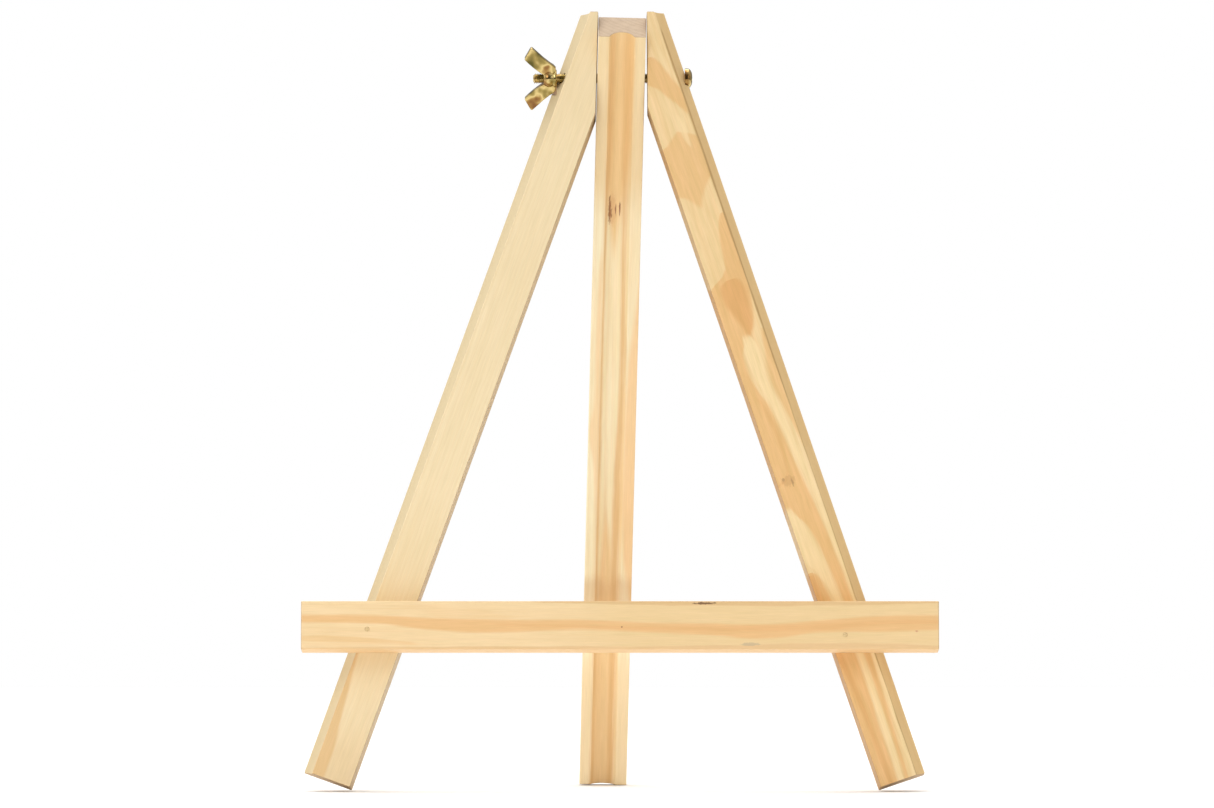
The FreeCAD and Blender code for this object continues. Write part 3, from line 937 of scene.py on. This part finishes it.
def ledge_pine(place):
    bands = [
        (srgb(236, 205, 152), [(125, -3, 24), (250, -3, 24)], 2.0, 0.85, 25),
        (srgb(235, 190, 132), [(0, 5.4, 8.4), (28, 5.6, 8.8), (50, 6.6, 11.2), (72, 7.4, 12.4),
            (94, 7.4, 11.6), (116, 7.6, 11.4), (138, 8.6, 12.4), (160, 8.8, 13.4), (182, 9.2, 14.8),
            (204, 7.6, 12.2), (226, 5.9, 12), (248, 5.7, 11.4)], 1.6, 0.95, 6),
        (srgb(231, 180, 122), [(80, 9, 9.6), (138, 10, 11.2), (170, 10, 12), (204, 9, 11.4), (226, 7.6, 9.6),
            (248, 7.4, 9)], 1.2, 0.6, 6),
        (ORANGE, [(0, 13.6, 15.6), (20, 14, 16.2), (42, 16, 17)], 1.0, 0.45, 6),
        (srgb(232, 195, 144), [(0, 18.4, 26), (60, 17.9, 26), (140, 17.8, 26), (226, 16.6, 26),
            (250, 17.6, 26)], 0.8, 0.95, 6),
        (srgb(224, 187, 134), [(96, -8, 0.6), (140, -8, 1.5), (204, -8, 1.7), (250, -8, 0.8)], 0.8, 0.85, 12),
    ]
    spots = [
        (KNOT_BROWN, (0.9, 0, 158), (0.55, 3, 5.2), 1.2, 0.8),
        (srgb(172, 158, 138), (17.0, 0, 176), (0.8, 3, 4.4), 0.8, 0.45),
        (srgb(206, 140, 110), (11.8, 0, 241), (0.5, 2, 0.7), 0.6, 0.7),
        (RUST_KNOT, (10.2, 0, 125.6), (0.35, 2, 0.5), 0.4, 0.8),
    ]
    return pine("ledge_pine", place, LEDGE_FIGURE, srgb(244, 215, 167), srgb(241, 210, 161), ORANGE, 0.14,
                (8, 70, 0), 2.2, 3.0, bands, spots, streak_strength=0.16)


left_wander = wandering(0.10, 60, 2.0)
right_wander = wandering(0.32, 38, 7.0)
front_leg("left_leg", "left_front_leg", 1, LEFT_WIDTH, LEFT_COVE_DEPTH, left_leg_pine, "left_leg_pine",
          "left_ledge_pin", left_wander, 0.12)
front_leg("right_leg", "right_front_leg", -1, RIGHT_WIDTH, RIGHT_COVE_DEPTH, right_leg_pine, "right_leg_pine",
          "right_ledge_pin", right_wander, 0.1)

strut, strut_place = bar("grooved_rear_leg", "rear_leg", rear_outline(), edge_round=0.35)
cut(strut, rod(HOLE_RADIUS, on_bolt(-THROUGH), right_way, 2 * THROUGH))
mark_faces(strut, strut_place)
finish_piece(strut, rear_leg_pine(strut_place), "rear_leg", "rear_leg_pine", "rear_leg")

ledge_outline = [(0, 0), (LEDGE_HEIGHT, 0), (LEDGE_HEIGHT, LEDGE_THICKNESS), (0, LEDGE_THICKNESS)]
ledge, ledge_place = bar("ledge_bar", "canvas_ledge", ledge_outline, upright=False, edge_round=0.4)
for nail in ("left_ledge_pin", "right_ledge_pin"):
    cut(ledge, nail_shape("cutter", nail, NAIL_HOLE_GAP))
mark_faces(ledge, ledge_place)
finish_piece(ledge, ledge_pine(ledge_place), "front_frame", "ledge_pine", "canvas_ledge")

for name, nail in (("left_nail", "left_ledge_pin"), ("right_nail", "right_ledge_pin")):
    nail_low, nail_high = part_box(nail)
    steel = nail_steel(name + "_steel", (nail_low + nail_high) / 2)
    finish_piece(nail_shape(name, nail), steel, "front_frame", "pin_steel", nail)


# Bolt

def thread_tree(material):
    """A rolled thread: a ridge that winds along +Z from the origin."""
    tree = bpy.data.node_groups.new("Rolled thread", "GeometryNodeTree")
    for label, value in (("Length", 0.05), ("Pitch", 0.0007), ("Core Radius", 0.0016),
                         ("Crest Radius", 0.002)):
        socket = tree.interface.new_socket(label, in_out="INPUT", socket_type="NodeSocketFloat")
        socket.default_value = value
    socket = tree.interface.new_socket("Finish", in_out="INPUT", socket_type="NodeSocketMaterial")
    socket.default_value = material
    tree.interface.new_socket("Geometry", in_out="OUTPUT", socket_type="NodeSocketGeometry")
    given = tree.nodes.new("NodeGroupInput").outputs
    turns = math_of(tree, "DIVIDE", given["Length"], given["Pitch"])
    helix = node(tree, "GeometryNodeCurveSpiral", {
        "Resolution": 28, "Rotations": turns, "Height": given["Length"]})
    middle = times(tree, plus(tree, given["Core Radius"], given["Crest Radius"]), 0.5)
    tree.links.new(middle, helix.inputs["Start Radius"])
    tree.links.new(middle, helix.inputs["End Radius"])
    steady = node(tree, "GeometryNodeSetCurveNormal", {"Curve": helix.outputs[0]}, mode="Z_UP")
    ridge = node(tree, "GeometryNodeCurvePrimitiveQuadrilateral", {
        "Height": minus(tree, given["Crest Radius"], given["Core Radius"]),
        "Bottom Width": times(tree, given["Pitch"], 0.92),
        "Top Width": times(tree, given["Pitch"], 0.16), "Offset": 0.0}, mode="TRAPEZOID")
    outwards = node(tree, "GeometryNodeTransform", {"Geometry": ridge.outputs[0],
                                                    "Rotation": (0, 0, math.pi / 2)})
    swept = node(tree, "GeometryNodeCurveToMesh", {
        "Curve": steady.outputs[0], "Profile Curve": outwards.outputs[0], "Fill Caps": True})
    real = node(tree, "GeometryNodeRealizeInstances", {0: swept.outputs[0]})
    faced = node(tree, "GeometryNodeSetMaterial", {"Geometry": real.outputs[0], "Material": given["Finish"]})
    node(tree, "NodeGroupOutput", {0: faced.outputs[0]})
    return tree


def grown(name, tree, values):
    """The mesh that a geometry tree makes, as an object with no modifier left on it."""
    made = bpy.data.objects.new(name, bpy.data.meshes.new(name))
    bpy.context.scene.collection.objects.link(made)
    modifier = made.modifiers.new("Made by rule", "NODES")
    modifier.node_group = tree
    sockets = {item.name: item.identifier for item in tree.interface.items_tree if item.in_out == "INPUT"}
    for label, value in values.items():
        modifier[sockets[label]] = value
    graph = bpy.context.evaluated_depsgraph_get()
    finished = bpy.data.meshes.new_from_object(made.evaluated_get(graph), depsgraph=graph)
    made.modifiers.clear()
    made.data = finished
    return made


def joined(name, *parts):
    """One object from several, all in the easel's own frame."""
    shape = bmesh.new()
    for part in parts:
        shape.from_mesh(part.data)
        bpy.data.objects.remove(part)
    return object_from(name, shape)


def cross_cutter(turn):
    """One arm of the head's cross recess, tapered towards its bottom."""
    shape = bmesh.new()
    floor_x = bolt_seat_x + HEAD_HEIGHT - RECESS_DEPTH
    corners = []
    for depth, share in ((0, 0.55), (2 * RECESS_DEPTH, 1.45)):
        for a, b in ((-1, -1), (1, -1), (1, 1), (-1, 1)):
            spot = Vector((0, a * RECESS_WIDTH / 2 * (0.75 + 0.25 * share), b * RECESS_LENGTH / 2 * share))
            spot = Matrix.Rotation(turn, 3, "X") @ spot
            corners.append(shape.verts.new(on_bolt(floor_x + depth) + spot * MM))
    for face in ((0, 1, 2, 3), (7, 6, 5, 4), (0, 4, 5, 1), (1, 5, 6, 2), (2, 6, 7, 3), (3, 7, 4, 0)):
        shape.faces.new([corners[i] for i in face])
    bmesh.ops.recalc_face_normals(shape, faces=shape.faces)
    return object_from("cutter", shape)


def head_radius(height):
    """The head's radius at a height above its seat: a straight rim, then a dome."""
    share = max(0.0, (height - HEAD_RIM) / (HEAD_HEIGHT - HEAD_RIM))
    return HEAD_RADIUS * (1 - share ** 2.6) ** (1 / 2.2)


zinc_bolt = plated_steel("bolt_yellow_zinc", patch=7.0, seed=42.0, smooth=0.12, rough=0.26)
zinc_nut = plated_steel("nut_yellow_zinc", patch=7.0, seed=3.0, smooth=0.10, rough=0.24)

bolt_length = bolt_seat_x - bolt_end_x
heights = [HEAD_EASE + (HEAD_HEIGHT - HEAD_EASE) * i / 16 for i in range(16)]
bolt_outline = [(0, 0), (0, CORE_RADIUS - 0.45), (BOLT_CHAMFER, CORE_RADIUS), (bolt_length, CORE_RADIUS),
                (bolt_length, HEAD_RADIUS - HEAD_EASE)]
bolt_outline += [(bolt_length + height, head_radius(height)) for height in heights]
bolt_outline += [(bolt_length + HEAD_HEIGHT, 0)]
core = turned("core", bolt_outline, on_bolt(bolt_end_x), right_way, ROUND_SIDES)
for turn in (0, math.pi / 2):
    cut(core, cross_cutter(turn + math.radians(HEAD_TURN)))
ridge = grown("ridge", thread_tree(zinc_bolt), {
    "Length": (bolt_length - THREAD_START - THREAD_STOP) * MM, "Pitch": THREAD_PITCH * MM,
    "Core Radius": (CORE_RADIUS - 0.05) * MM, "Crest Radius": CREST_RADIUS * MM})
thread_place = Matrix.Translation(on_bolt(bolt_end_x + THREAD_START))
ridge.data.transform(thread_place @ Matrix.Rotation(math.pi / 2, 4, "Y"))
bolt = joined("machine_bolt", core, ridge)
finish_piece(bolt, zinc_bolt, "pivot_bolt", "yellow_zinc", "pivot_bolt")


# Wing nut

def wing_way():
    """The way the upper wing points from the bolt's axis, read from the CAD nut's outer corners."""
    corners = frame["nodes"]["wing_nut"].data.vertices
    offsets = [Vector((0, v.co.y - pivot.y, v.co.z - pivot.z)) for v in corners]
    furthest = max(o.length for o in offsets)
    tips = [o for o in offsets if o.length > furthest - 0.05 * MM and o.z > 0]
    return sum(tips, Vector()).normalized()


# One wing: height above the seat, distance from the axis.
WING_OUTLINE = [(0.5, 1.6), (0.35, 4.6), (1.3, 5.7), (2.8, 6.7), (5.2, 8.7), (7.7, 11.1), (9.7, 13.0),
                (10.3, 12.9), (12.6, 8.7), (12.6, 8.0), (11.2, 6.6), (9.0, 4.6), (7.0, 3.1), (5.6, 2.2),
                (5.0, 1.6)]


def wing_thickness(height, radius):
    """Thickest where the wing leaves the hub, and thinner towards its tip."""
    share = min(1.0, max(0.0, math.hypot(height, radius - 2.3) / WING_LENGTH))
    flare = WING_FLARE * max(0.0, 1 - (radius - WING_START) / FLARE_REACH)
    return WING_ROOT - WING_THINNING * share + flare


def wing(side):
    """A cast wing, thicker at its root than at its tip, with eased edges."""
    up = wing_way() * side
    through = right_way.cross(up)
    shape = bmesh.new()
    faces = []
    for face in (-1, 1):
        verts = []
        for height, radius in WING_OUTLINE:
            aside = through * face * wing_thickness(height, radius) / 2
            verts.append(shape.verts.new(on_bolt(nut_seat_x - height) + (up * radius + aside) * MM))
        faces.append(verts)
    for i in range(len(WING_OUTLINE)):
        after = (i + 1) % len(WING_OUTLINE)
        shape.faces.new((faces[0][i], faces[0][after], faces[1][after], faces[1][i]))
    shape.faces.new(faces[0][::-1])
    shape.faces.new(faces[1])
    bmesh.ops.recalc_face_normals(shape, faces=shape.faces)
    made = object_from("wing", shape)
    return with_modifier(made, "BEVEL", width=WING_EASE * MM, segments=4, limit_method="ANGLE",
                         angle_limit=math.radians(50))


# The hub: height above the seat, radius.
HUB_OUTLINE = [(0.0, 0), (0.0, 3.3), (0.15, 3.5), (0.5, 3.6), (1.0, 3.55), (1.35, 3.25), (1.6, 3.1),
               (2.0, 3.2), (2.8, 3.42), (3.6, 3.38), (4.3, 3.15), (4.8, 2.8), (5.1, 2.5), (5.2, 2.3),
               (5.2, 0)]
nut = turned("wing_nut_cast", HUB_OUTLINE, on_bolt(nut_seat_x), -right_way, ROUND_SIDES)
for side in (1, -1):
    half = wing(side)
    with_modifier(nut, "BOOLEAN", operation="UNION", solver="EXACT", object=half)
    bpy.data.objects.remove(half)
cut(nut, rod(BORE_RADIUS, on_bolt(nut_seat_x - THROUGH / 2), right_way, THROUGH))
finish_piece(nut, zinc_nut, "wing_nut", "yellow_zinc", "wing_nut")


# Floor, light and camera

def pale_floor():
    shape = bmesh.new()
    bmesh.ops.create_grid(shape, x_segments=24, y_segments=24, size=1.6)
    made = object_from("studio_floor", shape)
    material, tree = new_material("studio_floor_white")
    mottle = noise_of(tree, tree.nodes.new("ShaderNodeTexCoord").outputs["Object"], 3.0, 2.0)
    colour = blend(tree, mottle, (0.965, 0.965, 0.965, 1), (0.99, 0.99, 0.99, 1))
    shader = node(tree, "ShaderNodeBsdfPrincipled", {
        "Base Color": colour, "Roughness": 0.9, "Specular IOR Level": 0.1})
    node(tree, "ShaderNodeOutputMaterial", {0: shader.outputs[0]})
    made.data.materials.append(material)


def studio_sky():
    """Even white behind the easel. What lights it is brighter above and to the left, and dimmer low in
    front and straight behind."""
    world = bpy.data.worlds.new("studio_sky")
    bpy.context.scene.world = world
    world.use_nodes = True
    tree = world.node_tree
    tree.nodes.clear()
    way = tree.nodes.new("ShaderNodeTexCoord").outputs["Generated"]
    x, y, z = node(tree, "ShaderNodeSeparateXYZ", {0: way}).outputs
    upper = ramp(tree, z, -0.25, 0.55, 0.40, 1.10)
    left = ramp(tree, x, -0.8, 0.8, 1.10, 0.70)
    front = ramp(tree, y, -0.95, -0.30, 0.12, 1.0)
    back = ramp(tree, y, 0.45, 0.95, 1.0, 0.35)
    strength = times(tree, times(tree, upper, left), times(tree, front, back))
    seen = tree.nodes.new("ShaderNodeLightPath").outputs["Is Camera Ray"]
    strength = plus(tree, times(tree, strength, minus(tree, 1.0, seen)), seen)
    light = node(tree, "ShaderNodeBackground", {0: (1, 1, 1, 1), 1: strength})
    node(tree, "ShaderNodeOutputWorld", {0: light.outputs[0]})


def soft_light(name, place, size, watts):
    """A square light, aimed at the middle of the easel."""
    lamp = bpy.data.lights.new(name, "AREA")
    lamp.shape = "SQUARE"
    lamp.size = size
    lamp.energy = watts
    made = bpy.data.objects.new(name, lamp)
    made.location = place
    made.rotation_mode = "QUATERNION"
    made.rotation_quaternion = ((cad_low + cad_high) / 2 - Vector(place)).to_track_quat("-Z", "Y")
    bpy.context.scene.collection.objects.link(made)


pale_floor()
studio_sky()
soft_light("key_light", (-0.9, -1.5, 1.1), size=0.9, watts=9.5)
soft_light("fill_light", (1.2, -1.4, 0.7), size=1.0, watts=3.2)
soft_light("top_light", (0.0, 0.6, 1.9), size=1.8, watts=24)

CAMERA_RANGE = 4.5           # metres in front of the front feet
CAMERA_X = -0.0051
CAMERA_HEIGHT = 0.15039      # above the front feet
SENSOR_WIDTH = 36.0          # millimetres
LENS_LENGTH = 340.28

camera = bpy.data.cameras.new("long_lens")
camera.sensor_width = SENSOR_WIDTH
camera.lens = LENS_LENGTH
camera.clip_start = 0.5
camera.clip_end = 60.0
stand = bpy.data.objects.new("long_lens", camera)
stand.location = (CAMERA_X, front_foot.y - CAMERA_RANGE, front_foot.z + CAMERA_HEIGHT)
stand.rotation_euler = (math.radians(90), 0, 0)
bpy.context.scene.collection.objects.link(stand)
bpy.context.scene.camera = stand
bpy.context.scene.view_settings.view_transform = "Standard"
